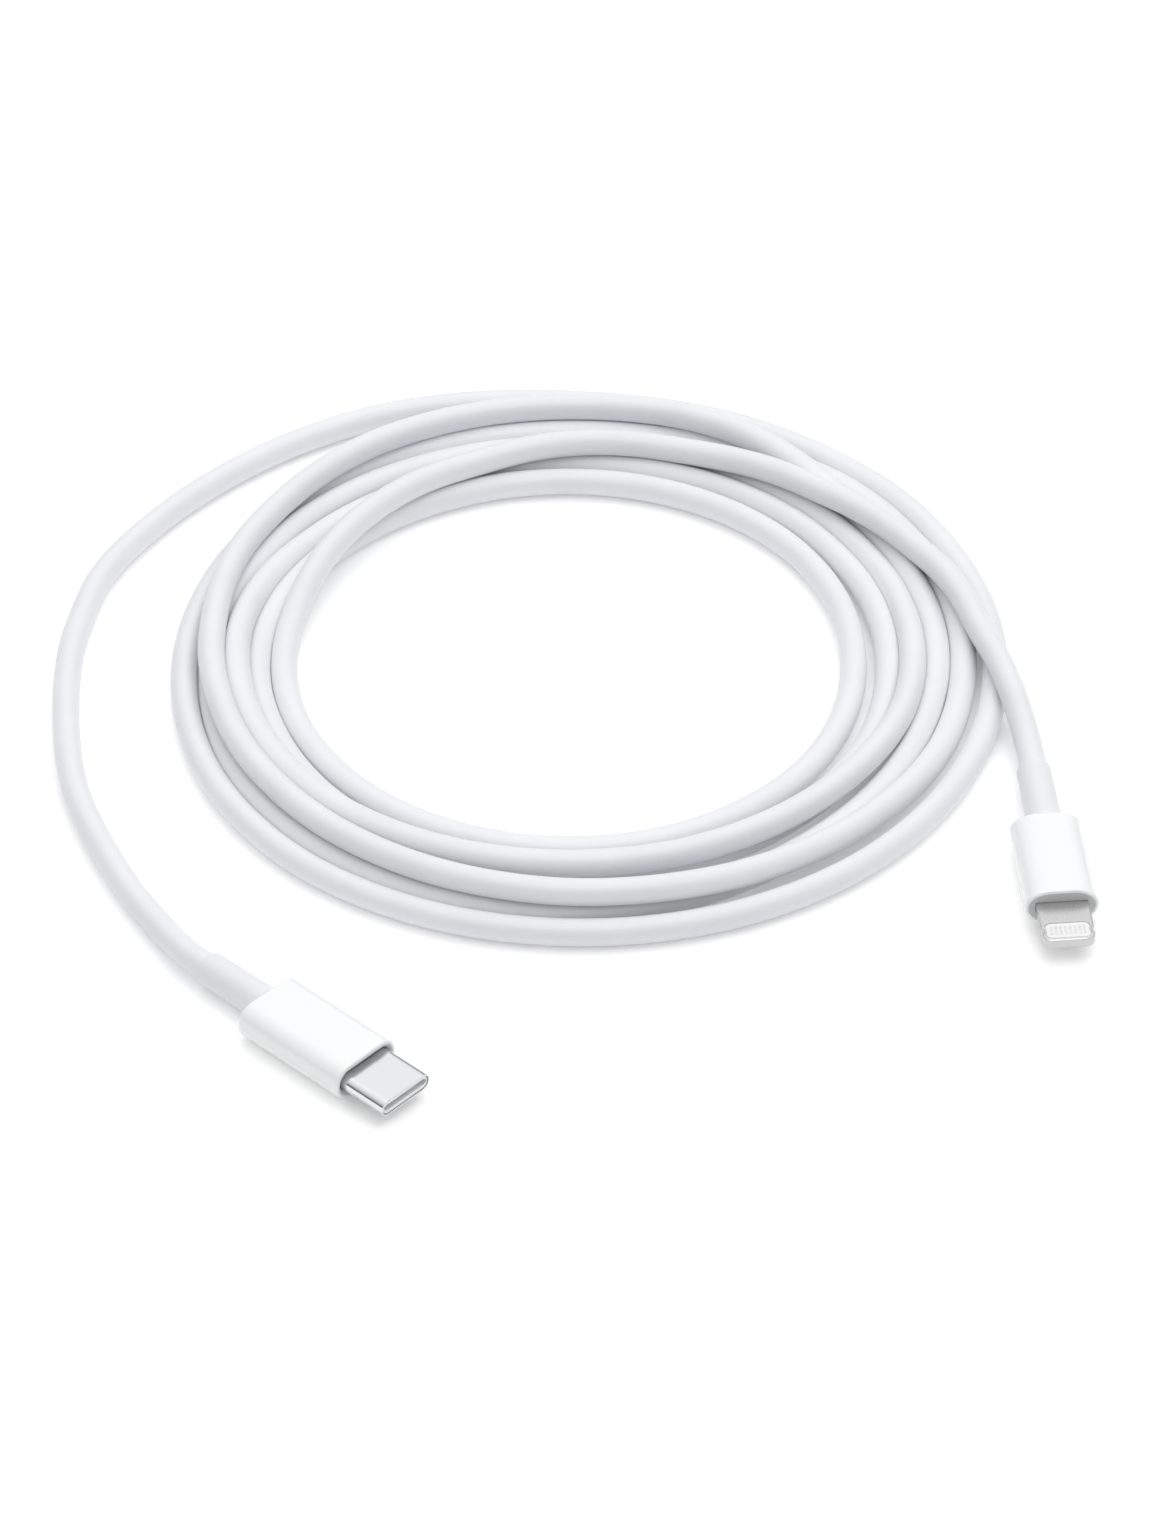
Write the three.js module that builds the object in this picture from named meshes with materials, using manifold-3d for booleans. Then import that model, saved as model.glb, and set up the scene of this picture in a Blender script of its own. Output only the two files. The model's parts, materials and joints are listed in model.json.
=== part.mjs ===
// Charging cable: a reversible type-C plug and a slim eight-contact tab plug on 2 m of white cord.
// Millimetres, +Z up. The cable lies on the plane z = 0: one loose outer loop, a flat coil, and a
// short lead to the tab plug. The origin is the middle of the two plugs' footprint on that plane.
//
// Each plug is built in its own frame: +X runs along the plug towards its tip, Z is up, and x = 0 is
// the front of its housing on the plug's centre line.

import * as THREE from 'three';
import { mergeVertices } from 'three/addons/utils/BufferGeometryUtils.js';
import Module from 'manifold-3d';

const wasm = await Module();
wasm.setup();

// ---------------------------------------------------------------- driving dimensions

const CORD_DIAMETER = 3.5;
const CORD_SIDES = 8;
const SLIP = 0.1;                      // between small pieces assembled by hand

const COIL = { inner: 33, outer: 56, height: 7.5, edge: 1.6, segments: 48 };

const TYPE_C = {
  front: [-26.95, -79.7],              // housing front, from the coil's centre
  yaw: -43.2,                          // degrees from +X
  width: 10.2,
  height: 5,
  corner: 2.3,
  length: 17.1,
  relief: 10,                          // strain relief, from the housing to the cord's flex point
  wall: 0.55,
  rearWall: 1.5,
  recess: 0.3,                         // depth from the housing's lip to the inner moulding
  jacketLength: 1.6,
  board: { back: -11.2, front: -3.2, width: 6.7 },
  can: { back: -11.8, width: 7.2, height: 2.5 },
};

const TAB = {
  front: [58.9, -49.75],
  yaw: -85,
  width: 9.3,
  height: 5.2,
  corner: 2.45,
  length: 15.3,
  relief: 11,
  wall: 0.5,
  rearWall: 1.4,
  recess: 0.1,
  jacketLength: 1.4,
  board: { back: -10.8, front: -4.7, width: 6 },
  can: { back: -11.2, width: 6.6, height: 2.2 },
};

const SHELL = { width: 8.25, height: 2.4, thickness: 0.2, exposed: 6.65, hidden: 3 };
const CARRIER = { clearance: 0.08, slotWidth: 6.7, slotHeight: 1.3, back: -2.4, inset: 0.12 };
const CARRIER_MOUTH = { back: 5.75, width: 6.6, height: 0.9, pitBack: 5.6, pitWidth: 7.3, pitHeight: 0.6 };
const SIDE_WINDOW = { front: 5.7, height: 0.84 };
const SPRING_SEAT = { back: 3.4, front: 5.6, width: 5.2, depth: 0.12 };
const CONTACT_ROW = { count: 12, pitch: 0.5, width: 0.25, thickness: 0.1, tip: 5.6, tail: -4.6, z: 0.49 };
const CONTACT_BAR = { length: 0.7, z: 0.4 };
const LATCH = { y: 3.62, thickness: 0.15, height: 0.6, root: -2.1, tip: 5.7, hook: 0.35 };
const LATCH_HOOK = { tip: 5.4, back: 5, root: 4.6 };
const GROUND_SPRING = { back: 3.6, front: 5.4, width: 4.8, thickness: 0.1 };

const BLADE = { width: 6.6, thickness: 1.45, exposed: 7, hidden: 4.5, corner: 1.25 };
const WINDOW = { width: 5.6, length: 2.7, corner: 0.8, front: 6.45 };
const NOTCH = { radius: 0.7, depth: 0.3, x: 5.1 };
const PAD = { count: 8, pitch: 0.59, width: 0.36, length: 1.6, thickness: 0.1, sunk: 0.06 };
const INSERT = { play: 0.05, thickness: 1.16 };

const RELIEF = { mouthRadius: 2.2, baseRadius: 2.3, neckRadius: 1.6, flangeRadius: 1.78, flange: 0.7 };
const CORE = { radius: 0.28, straight: 0.6, clear: 0.05, landingBack: 0.5, landingFront: 0.8 };
const CORE_STEPS = 5;
const CORE_ROWS = { power: [-1, -1.8], data_minus: [-0.33, -0.6], data_plus: [0.33, 0.6], ground: [1, 1.8] };
const FERRULE = { outer: 1.75, inner: 1.52, jacket: 1.42, back: 0.1, front: 0.2 };
const JACKET_START = 0.9;              // from the inside of the housing's rear wall
const MOULD_START = 3.2;
const MOULD_HOLLOW = -2.1;             // front end of the inner moulding's hollow
const BOARD_THICKNESS = 0.6;
const CHIP_LIFT = 0.05;                // solder under the parts on the board
const SHEET = 0.15;                    // steel of the cans
const SEAM = 0.08;                     // half the slit between a can's halves

// Parts on the boards: extent along and across the plug, and height.
const TYPE_C_CONTROLLER = { x: [-8.8, -6], y: [-1.4, 1.4], height: 0.65 };
const TYPE_C_CAPACITOR = { x: [-8, -7], y: [1.9, 2.4], height: 0.5 };
const TAB_CONTROLLER = { x: [-8.4, -6.2], y: [-1.2, 1.2], height: 0.5 };

// Middle line of the loose loop, from the type-C strain relief to the coil, from the coil's centre.
const LOOP_ROUTE = [
  [-48.5, -59.45, 2.45], [-51.3, -55.6, 2.1], [-54.4, -50.6, 1.85], [-57.6, -45, 1.77],
  [-60.4, -39, 1.77], [-62.9, -32.9, 1.77], [-65, -26.4, 1.77], [-66.3, -19.5, 1.77],
  [-67, -12.4, 1.77], [-67.3, -4.6, 1.77], [-66.9, 3.6, 1.77], [-65.7, 10.4, 1.77],
  [-64.2, 16.5, 1.77], [-61.7, 21.9, 1.77], [-58.4, 27.1, 1.77], [-54.5, 32.3, 1.77],
  [-50, 37.2, 1.77], [-45, 41.8, 1.77], [-39.7, 45.8, 1.77], [-34.1, 49.2, 1.77],
  [-28.5, 51.8, 1.77],
];
const LOOP_STEPS = 22;

// Middle line of the lead, from the coil's edge to the tab plug's strain relief.
const LEAD_ROUTE = [
  [55.6, -14.9, 3.2], [56, -17.1, 2.85], [56.27, -19.3, 2.67], [56.5, -21.35, 2.61],
];
const LEAD_STEPS = 3;

// ---------------------------------------------------------------- materials

function surface(color, roughness, metalness) {
  return new THREE.MeshStandardMaterial({ color, roughness, metalness });
}

const MATERIALS = {
  jacket: surface(0xededf0, 0.5, 0),
  relief: surface(0xeeeef1, 0.5, 0),
  housing: surface(0xfafbfb, 0.25, 0),
  mould: surface(0xe6e7e8, 0.45, 0),
  shell: surface(0xd3d5d8, 0.22, 1),
  blade: surface(0xbfbfc0, 0.32, 1),
  spring: surface(0xb4b6b8, 0.35, 1),
  can: surface(0xa9abad, 0.4, 1),
  ferrule: surface(0xb08d57, 0.35, 1),
  carrier: surface(0xc9cacc, 0.55, 0),
  insert: surface(0xf4f4f5, 0.4, 0),
  contact: surface(0xcfc6ae, 0.3, 1),
  board: surface(0x1f6b3a, 0.5, 0),
  chip: surface(0x1c1c1e, 0.55, 0),
  capacitor: surface(0xa67c52, 0.5, 0),
  corePower: surface(0xc0302b, 0.5, 0),
  coreGround: surface(0x242426, 0.5, 0),
  corePlus: surface(0x2f8a4a, 0.5, 0),
  coreMinus: surface(0xf0f0f0, 0.5, 0),
};

// ---------------------------------------------------------------- geometry helpers

function closed(geometry) {
  geometry.deleteAttribute('normal');
  geometry.deleteAttribute('uv');
  return mergeVertices(geometry, 1e-4);
}

function solid(geometry) {
  const merged = closed(geometry);
  return new wasm.Manifold(new wasm.Mesh({
    numProp: 3,
    vertProperties: new Float32Array(merged.attributes.position.array),
    triVerts: new Uint32Array(merged.index.array),
  }));
}

function unsolid(manifold) {
  const mesh = manifold.getMesh();
  const geometry = new THREE.BufferGeometry();
  geometry.setAttribute('position', new THREE.BufferAttribute(mesh.vertProperties, 3));
  geometry.setIndex(new THREE.BufferAttribute(mesh.triVerts, 1));
  return geometry;
}

// What is left of the first geometry once all the others are cut out of it.
function cut(geometry, ...tools) {
  let body = solid(geometry);
  for (const tool of tools) {
    body = body.subtract(solid(tool));
  }
  return unsolid(body);
}

function join(geometry, ...others) {
  let body = solid(geometry);
  for (const other of others) {
    body = body.add(solid(other));
  }
  return unsolid(body);
}

function roundedOutline(width, height, radius) {
  const x = width / 2 - radius;
  const y = height / 2 - radius;
  const quarter = Math.PI / 2;
  const shape = new THREE.Shape();
  shape.absarc(x, -y, radius, -quarter, 0);
  shape.absarc(x, y, radius, 0, quarter);
  shape.absarc(-x, y, radius, quarter, 2 * quarter);
  shape.absarc(-x, -y, radius, 2 * quarter, 3 * quarter);
  return shape;
}

// A prism whose outline lies across the plug (outline x to Y, outline y to Z), from x0 to x1.
function alongX(shape, x0, x1, curveSegments = 4) {
  const geometry = new THREE.ExtrudeGeometry(shape, {
    depth: x1 - x0,
    bevelEnabled: false,
    curveSegments,
  });
  const turn = new THREE.Matrix4().makeBasis(
    new THREE.Vector3(0, 1, 0),
    new THREE.Vector3(0, 0, 1),
    new THREE.Vector3(1, 0, 0),
  );
  return geometry.applyMatrix4(turn).translate(x0, 0, 0);
}

function roundedPrism(width, height, radius, x0, x1, curveSegments = 4) {
  return alongX(roundedOutline(width, height, radius), x0, x1, curveSegments);
}

function block(x0, x1, y0, y1, z0, z1) {
  return new THREE.BoxGeometry(x1 - x0, y1 - y0, z1 - z0)
    .translate((x0 + x1) / 2, (y0 + y1) / 2, (z0 + z1) / 2);
}

// A body of revolution about the plug's axis from [x, radius] points.
function turned(points, segments = 16) {
  const profile = points.map(([x, r]) => new THREE.Vector2(r, x));
  const turn = new THREE.Matrix4().makeBasis(
    new THREE.Vector3(0, 1, 0),
    new THREE.Vector3(1, 0, 0),
    new THREE.Vector3(0, 0, -1),
  );
  return new THREE.LatheGeometry(profile, segments).applyMatrix4(turn);
}

// A plain tube along a smooth curve through the points.
function tube(points, radius, steps, sides) {
  const section = new THREE.Shape();
  section.absarc(0, 0, radius, 0, 2 * Math.PI);
  const path = new THREE.CatmullRomCurve3(points.map((p) => new THREE.Vector3(...p)));
  return new THREE.ExtrudeGeometry(section, {
    steps,
    bevelEnabled: false,
    curveSegments: sides,
    extrudePath: path,
  });
}

function add(group, name, geometry, material) {
  const mesh = new THREE.Mesh(closed(geometry), material);
  mesh.name = name;
  group.add(mesh);
}

// ---------------------------------------------------------------- pieces that both plugs have

function housing(plug) {
  const { width, height, corner, length, wall, rearWall } = plug;
  const outside = roundedPrism(width, height, corner, -length, 0, 6);
  const hollow = roundedPrism(
    width - 2 * wall, height - 2 * wall, corner - wall, -length + rearWall, 1, 6,
  );
  const hole = RELIEF.neckRadius + SLIP;
  const cordHole = turned([[-length - 1, 0], [-length - 1, hole], [-length + 3, hole], [-length + 3, 0]]);
  return cut(outside, hollow, cordHole);
}

// Fills the housing behind its lip, open at the back for the cord and at the front for the tongue.
function innerMould(plug, mouth) {
  const { width, height, corner, length, wall, rearWall, recess, can } = plug;
  const play = wall + SLIP;
  const back = -length + rearWall + MOULD_START;
  const outside = roundedPrism(
    width - 2 * play, height - 2 * play, corner - play, back, -recess, 6,
  );
  const y = can.width / 2 + SLIP;
  const z = can.height / 2 + SLIP;
  return cut(outside, block(back - 1, MOULD_HOLLOW, -y, y, -z, z), mouth);
}

// Domed at the mouth about the point where the cord flexes, tapered, with a neck through the
// housing's rear wall and a flange behind it.
function strainRelief(plug) {
  const { length, rearWall } = plug;
  const { mouthRadius, baseRadius, neckRadius, flangeRadius, flange } = RELIEF;
  const flex = -length - plug.relief;
  const rear = -length - SLIP;
  const inside = -length + rearWall + SLIP;
  const dome = [];
  for (let i = 0; i <= 4; i += 1) {
    const angle = (i / 4) * (Math.PI / 2);
    dome.push([flex - mouthRadius * Math.cos(angle), mouthRadius * Math.sin(angle)]);
  }
  dome[0][1] = 0;
  return turned([
    ...dome,
    [rear, baseRadius],
    [rear, neckRadius],
    [inside, neckRadius],
    [inside, flangeRadius],
    [inside + flange, flangeRadius],
    [inside + flange, 0],
  ]);
}

function jacketEnd(start, end) {
  const radius = FERRULE.jacket;
  return turned([[start, 0], [start, radius], [end, radius], [end, 0]], 12);
}

function crimpFerrule(start, end) {
  const { outer, inner } = FERRULE;
  return turned([[start, inner], [start, outer], [end, outer], [end, inner], [start, inner]], 12);
}

// Half of a folded can: a channel that is open towards the board.
function canHalf(plug, side) {
  const { back, width, height } = plug.can;
  const shape = new THREE.Shape();
  const y = width / 2;
  const top = height / 2;
  shape.moveTo(-y, side * SEAM);
  shape.lineTo(-y, side * top);
  shape.lineTo(y, side * top);
  shape.lineTo(y, side * SEAM);
  shape.lineTo(y - SHEET, side * SEAM);
  shape.lineTo(y - SHEET, side * (top - SHEET));
  shape.lineTo(-y + SHEET, side * (top - SHEET));
  shape.lineTo(-y + SHEET, side * SEAM);
  return alongX(shape, back, plug.board.front);
}

function boardPlate(plug) {
  const { back, front, width } = plug.board;
  return block(back, front, -width / 2, width / 2, -BOARD_THICKNESS / 2, BOARD_THICKNESS / 2);
}

// A package on top of the board.
function packageOn({ x, y, height }) {
  const foot = BOARD_THICKNESS / 2 + CHIP_LIFT;
  return block(x[0], x[1], y[0], y[1], foot, foot + height);
}

// The four insulated cores run from the crimped jacket to the board's rear edge.
function addCores(group, prefix, start, boardEdge) {
  const colours = {
    power: MATERIALS.corePower,
    data_minus: MATERIALS.coreMinus,
    data_plus: MATERIALS.corePlus,
    ground: MATERIALS.coreGround,
  };
  const landing = BOARD_THICKNESS / 2 + CORE.radius + CHIP_LIFT;
  for (const [name, [y, padY]] of Object.entries(CORE_ROWS)) {
    const route = [
      [start, y, 0],
      [start + CORE.straight, y, 0],
      [boardEdge - CORE.landingBack, padY, landing],
      [boardEdge + CORE.landingFront, padY, landing],
    ];
    add(group, `${prefix}_core_${name}`, tube(route, CORE.radius, CORE_STEPS, CORD_SIDES), colours[name]);
  }
}

// What both plugs have: the outer pieces, the board in its can, and the cord's crimped end.
function addCommon(group, prefix, plug, mouth) {
  const start = -plug.length + plug.rearWall + JACKET_START;
  const end = start + plug.jacketLength;
  add(group, `${prefix}_housing`, housing(plug), MATERIALS.housing);
  add(group, `${prefix}_strain_relief`, strainRelief(plug), MATERIALS.relief);
  add(group, `${prefix}_inner_mould`, innerMould(plug, mouth), MATERIALS.mould);
  add(group, `${prefix}_board`, boardPlate(plug), MATERIALS.board);
  add(group, `${prefix}_shield_upper`, canHalf(plug, 1), MATERIALS.can);
  add(group, `${prefix}_shield_lower`, canHalf(plug, -1), MATERIALS.can);
  add(group, `${prefix}_jacket_end`, jacketEnd(start, end), MATERIALS.jacket);
  const ferrule = crimpFerrule(start + FERRULE.back, end - FERRULE.front);
  add(group, `${prefix}_crimp_ferrule`, ferrule, MATERIALS.ferrule);
  addCores(group, prefix, end + CORE.clear, plug.board.back);
}

// ---------------------------------------------------------------- type-C plug

function shell() {
  const { width, height, thickness, exposed, hidden } = SHELL;
  const outline = roundedOutline(width, height, height / 2 - 0.01);
  const inner = height - 2 * thickness;
  outline.holes.push(roundedOutline(width - 2 * thickness, inner, inner / 2 - 0.01));
  return alongX(outline, -hidden, exposed, 5);
}

function contactCarrier() {
  const { clearance, slotWidth, slotHeight, back, inset } = CARRIER;
  const height = SHELL.height - 2 * (SHELL.thickness + clearance);
  const width = SHELL.width - 2 * (SHELL.thickness + clearance);
  const front = SHELL.exposed - inset;
  const body = roundedPrism(width, height, height / 2 - 0.02, back, front, 4);
  const y = slotWidth / 2;
  const lip = CARRIER_MOUTH;
  const slot = block(back - 1, lip.back, -y, y, -slotHeight / 2, slotHeight / 2);
  const mouth = block(0, front + 1, -lip.width / 2, lip.width / 2, -lip.height / 2, lip.height / 2);
  const pits = block(
    lip.pitBack, front + 1, -lip.pitWidth / 2, lip.pitWidth / 2, -lip.pitHeight / 2, lip.pitHeight / 2,
  );
  const windowZ = SIDE_WINDOW.height / 2;
  const sideWindows = block(back - 1, SIDE_WINDOW.front, -width, width, -windowZ, windowZ);
  const seat = SPRING_SEAT;
  const springSeats = [1, -1].map((side) => {
    const z = side * (height / 2);
    return block(seat.back, seat.front, -seat.width / 2, seat.width / 2, z - seat.depth, z + seat.depth);
  });
  return cut(body, slot, mouth, pits, sideWindows, ...springSeats);
}

// A row of beams that share the moulded bar at their tails.
function contactRow(side) {
  const { count, pitch, width, thickness, tip, tail, z } = CONTACT_ROW;
  const top = z + thickness;
  const beams = [];
  for (let i = 0; i < count; i += 1) {
    const y = (i - (count - 1) / 2) * pitch;
    beams.push(block(tail, tip, y - width / 2, y + width / 2, z, top));
  }
  const half = (count * pitch) / 2;
  const bar = block(tail, tail + CONTACT_BAR.length, -half, half, CONTACT_BAR.z, top);
  const row = join(bar, ...beams);
  return side > 0 ? row : row.rotateX(Math.PI);
}

// A flat spring arm on its own root, with the hook that catches the socket near its tip.
function latch(side) {
  const { y, thickness, height, root, tip, hook } = LATCH;
  const arm = new THREE.Shape();
  arm.moveTo(root, 0);
  arm.lineTo(tip, 0);
  arm.lineTo(LATCH_HOOK.tip, -hook - thickness);
  arm.lineTo(LATCH_HOOK.back, -hook - thickness);
  arm.lineTo(LATCH_HOOK.root, -thickness);
  arm.lineTo(root, -thickness);
  const geometry = new THREE.ExtrudeGeometry(arm, { depth: height, bevelEnabled: false });
  geometry.translate(0, y, -height / 2);
  return side > 0 ? geometry : geometry.rotateX(Math.PI);
}

function groundSpring(side) {
  const { back, front, width, thickness } = GROUND_SPRING;
  const z = side * (SHELL.height / 2 - SHELL.thickness - thickness);
  return block(back, front, -width / 2, width / 2, z - thickness / 2, z + thickness / 2);
}

function buildTypeC() {
  const group = new THREE.Group();
  const mouth = roundedPrism(
    SHELL.width + 2 * SLIP, SHELL.height + 2 * SLIP, SHELL.height / 2, -SHELL.hidden - SLIP, 1, 5,
  );
  addCommon(group, 'type_c', TYPE_C, mouth);
  add(group, 'type_c_shell', shell(), MATERIALS.shell);
  add(group, 'type_c_contact_carrier', contactCarrier(), MATERIALS.carrier);
  add(group, 'type_c_upper_contacts', contactRow(1), MATERIALS.contact);
  add(group, 'type_c_lower_contacts', contactRow(-1), MATERIALS.contact);
  add(group, 'type_c_latch_left', latch(1), MATERIALS.spring);
  add(group, 'type_c_latch_right', latch(-1), MATERIALS.spring);
  add(group, 'type_c_ground_spring_upper', groundSpring(1), MATERIALS.spring);
  add(group, 'type_c_ground_spring_lower', groundSpring(-1), MATERIALS.spring);
  add(group, 'type_c_controller', packageOn(TYPE_C_CONTROLLER), MATERIALS.chip);
  add(group, 'type_c_capacitor', packageOn(TYPE_C_CAPACITOR), MATERIALS.capacitor);
  return group;
}

// ---------------------------------------------------------------- tab plug

function blade() {
  const { width, thickness, exposed, hidden, corner } = BLADE;
  const half = width / 2;
  const plan = new THREE.Shape();
  plan.moveTo(-hidden, half);
  plan.lineTo(-hidden, -half);
  plan.absarc(exposed - corner, -half + corner, corner, -Math.PI / 2, 0);
  plan.absarc(exposed - corner, half - corner, corner, 0, Math.PI / 2);
  plan.holes.push(windowOutline(0));
  const flat = new THREE.ExtrudeGeometry(plan, {
    depth: thickness,
    bevelEnabled: false,
    curveSegments: 5,
  }).translate(0, 0, -thickness / 2);
  const offset = half + NOTCH.radius - NOTCH.depth;
  const notches = [1, -1].map((side) => new THREE.CylinderGeometry(
    NOTCH.radius, NOTCH.radius, thickness * 2, 12,
  ).rotateX(Math.PI / 2).translate(NOTCH.x, side * offset, 0));
  return cut(flat, ...notches);
}

function windowOutline(inset) {
  const outline = roundedOutline(
    WINDOW.length - 2 * inset, WINDOW.width - 2 * inset, WINDOW.corner - inset,
  );
  const middle = WINDOW.front - WINDOW.length / 2;
  const moved = outline.getPoints(4).map((p) => new THREE.Vector2(p.x + middle, p.y));
  return new THREE.Shape(moved);
}

function insert() {
  const { play, thickness } = INSERT;
  return new THREE.ExtrudeGeometry(windowOutline(play), { depth: thickness, bevelEnabled: false })
    .translate(0, 0, -thickness / 2);
}

function contactPad(index, side) {
  const { count, pitch, width, length, thickness, sunk } = PAD;
  const y = (index - (count - 1) / 2) * pitch;
  const middle = WINDOW.front - WINDOW.length / 2;
  const z = side * (BLADE.thickness / 2 - sunk);
  return block(
    middle - length / 2, middle + length / 2, y - width / 2, y + width / 2,
    z - thickness / 2, z + thickness / 2,
  );
}

function buildTab() {
  const group = new THREE.Group();
  const y = BLADE.width / 2 + SLIP;
  const z = BLADE.thickness / 2 + SLIP;
  const mouth = block(MOULD_HOLLOW - SLIP, 1, -y, y, -z, z);
  addCommon(group, 'tab_plug', TAB, mouth);
  add(group, 'tab_plug_frame', blade(), MATERIALS.blade);
  add(group, 'tab_plug_insert', insert(), MATERIALS.insert);
  for (let i = 0; i < PAD.count; i += 1) {
    add(group, `tab_plug_contact_upper_${i + 1}`, contactPad(i, 1), MATERIALS.contact);
    add(group, `tab_plug_contact_lower_${i + 1}`, contactPad(i, -1), MATERIALS.contact);
  }
  add(group, 'tab_plug_controller', packageOn(TAB_CONTROLLER), MATERIALS.chip);
  return group;
}

// ---------------------------------------------------------------- cord

// The coil's outer shape: a flat ring with eased edges.
function coil() {
  const { inner, outer, height, edge, segments } = COIL;
  const section = [
    [inner + edge, 0], [outer - edge, 0], [outer, edge], [outer, height - edge],
    [outer - edge, height], [inner + edge, height], [inner, height - edge], [inner, edge],
    [inner + edge, 0],
  ];
  const profile = section.map(([r, z]) => new THREE.Vector2(r, z));
  return new THREE.LatheGeometry(profile, segments).rotateX(Math.PI / 2);
}

function buildCord() {
  const group = new THREE.Group();
  const radius = CORD_DIAMETER / 2;
  add(group, 'cord_loop', tube(LOOP_ROUTE, radius, LOOP_STEPS, CORD_SIDES), MATERIALS.jacket);
  add(group, 'cord_coil', coil(), MATERIALS.jacket);
  add(group, 'cord_lead', tube(LEAD_ROUTE, radius, LEAD_STEPS, CORD_SIDES), MATERIALS.jacket);
  return group;
}

// ---------------------------------------------------------------- the whole cable

function place(group, plug) {
  group.position.set(plug.front[0], plug.front[1], plug.height / 2);
  group.rotation.z = THREE.MathUtils.degToRad(plug.yaw);
}

const typeC = buildTypeC();
place(typeC, TYPE_C);
const tab = buildTab();
place(tab, TAB);
const cord = buildCord();

const plugs = new THREE.Group();
plugs.add(typeC, tab);
plugs.updateMatrixWorld(true);
const footprint = new THREE.Box3().setFromObject(plugs, true).getCenter(new THREE.Vector3());

const cable = new THREE.Group();
cable.add(plugs, cord);
cable.position.set(-footprint.x, -footprint.y, 0);

export default cable;
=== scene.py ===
import json
import math

import bmesh
import bpy
import numpy as np
from mathutils import Matrix, Vector


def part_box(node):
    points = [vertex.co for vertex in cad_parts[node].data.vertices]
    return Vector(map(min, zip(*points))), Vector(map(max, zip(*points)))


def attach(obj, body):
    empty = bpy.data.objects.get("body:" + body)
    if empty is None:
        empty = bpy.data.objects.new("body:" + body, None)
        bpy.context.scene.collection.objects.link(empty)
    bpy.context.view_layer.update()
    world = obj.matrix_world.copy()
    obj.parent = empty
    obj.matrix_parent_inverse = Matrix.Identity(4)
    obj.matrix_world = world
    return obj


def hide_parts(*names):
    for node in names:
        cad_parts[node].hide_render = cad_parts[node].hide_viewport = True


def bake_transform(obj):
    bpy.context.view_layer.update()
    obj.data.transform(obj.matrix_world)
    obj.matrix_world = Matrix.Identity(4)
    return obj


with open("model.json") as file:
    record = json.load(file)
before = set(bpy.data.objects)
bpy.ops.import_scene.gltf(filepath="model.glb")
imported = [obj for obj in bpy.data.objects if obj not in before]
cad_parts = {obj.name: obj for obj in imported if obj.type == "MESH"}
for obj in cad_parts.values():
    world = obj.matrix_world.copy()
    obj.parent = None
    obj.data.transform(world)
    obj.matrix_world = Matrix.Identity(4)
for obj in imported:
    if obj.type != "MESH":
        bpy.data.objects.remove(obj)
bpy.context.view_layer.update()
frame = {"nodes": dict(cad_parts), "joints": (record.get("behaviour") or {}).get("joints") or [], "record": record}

# A charging cable: 2 m of white cord in a loose flat coil, with a type-C plug and a slim tab plug.
# The scene, the cord and the lights are in metres. The plugs' sizes are in millimetres, in each
# plug's own axes: +X to its tip, Z up, and x = 0 at the front of its housing.

# ---------------------------------------------------------------- driving dimensions

MM = 0.001
CORD_RADIUS = 0.00175
CORD_SIDES = 24
SETTLE_STEP = 0.002                     # between the points of the route while its turns settle
CORD_STEP = 0.0015                      # between the rings of the finished cord

# The camera's aim is given from the coil's centre.
CAMERA = {"aim": (-0.00156, -0.01979), "elevation": 40, "distance": 0.934, "lens": 171.4, "sensor": 36}

TYPE_C_SIZE = {
    "width": 10.2,
    "height": 5,
    "length": 17.1,
    "corner": 2.3,
    "oval": 1,                          # how many times as wide as high the corners are
    "wall": 0.55,
    "rear_wall": 1.5,
    "relief": 10,                       # strain relief, from the housing to the cord's flex point
    "recess": 0.45,                     # depth of the inner moulding's dished front
    "moulding_back": -12.3,
    "mouth": {"width": 8.45, "height": 2.6, "corner": 1.29, "back": -3.1},
    "can": {"width": 7.2, "height": 2.5},
}
TAB_SIZE = {
    "width": 9.3,
    "height": 5.2,
    "length": 15.3,
    "corner": 2.45,
    "oval": 1.4,
    "wall": 0.5,
    "rear_wall": 1.4,
    "relief": 11,
    "recess": 0.14,
    "moulding_back": -11.4,
    "mouth": {"width": 6.7, "height": 1.55, "corner": 0.25, "back": -4.6},
    "can": {"width": 6.6, "height": 2.2},
}

# Strain reliefs. The lip is the rounding at the cord's end, and the ease is at the housing.
RELIEF = {
    "lip_radius": 2.2,
    "base_radius": 2.3,
    "overhang": 0.2,                    # past the flex point
    "lip": 0.4,
    "inner_lip": 0.1,
    "ease": 0.04,
    "taper": 1.2,
    "play": 0.02,                       # round the cord
    "socket": 3.2,                      # depth of the cord's socket, from the flex point
    "neck_radius": 1.6,
    "neck": 1.7,
    "flange_radius": 1.78,
    "flange": 0.7,
    "socket_cap": 0.6,                  # radius of the flat that closes the socket
    "flange_cap": 0.8,
    "rings": 22,                        # along the taper
}

# Housings: the cord's hole and its chamfer, the rounding behind, the rolled lip in front, how far
# its inner side dishes in, and the band behind that. Mouldings: the play in the housing and round
# the can, and the eased edges.
HOUSING = {"hole": 1.7, "chamfer": 0.1, "rear": 0.45, "lip": 0.3, "dish": 0.1, "band": 0.2}
MOULDING = {"play": 0.01, "edge": 0.1, "can_play": 0.2, "can_corner": 0.1, "dish_rings": 10}

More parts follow.
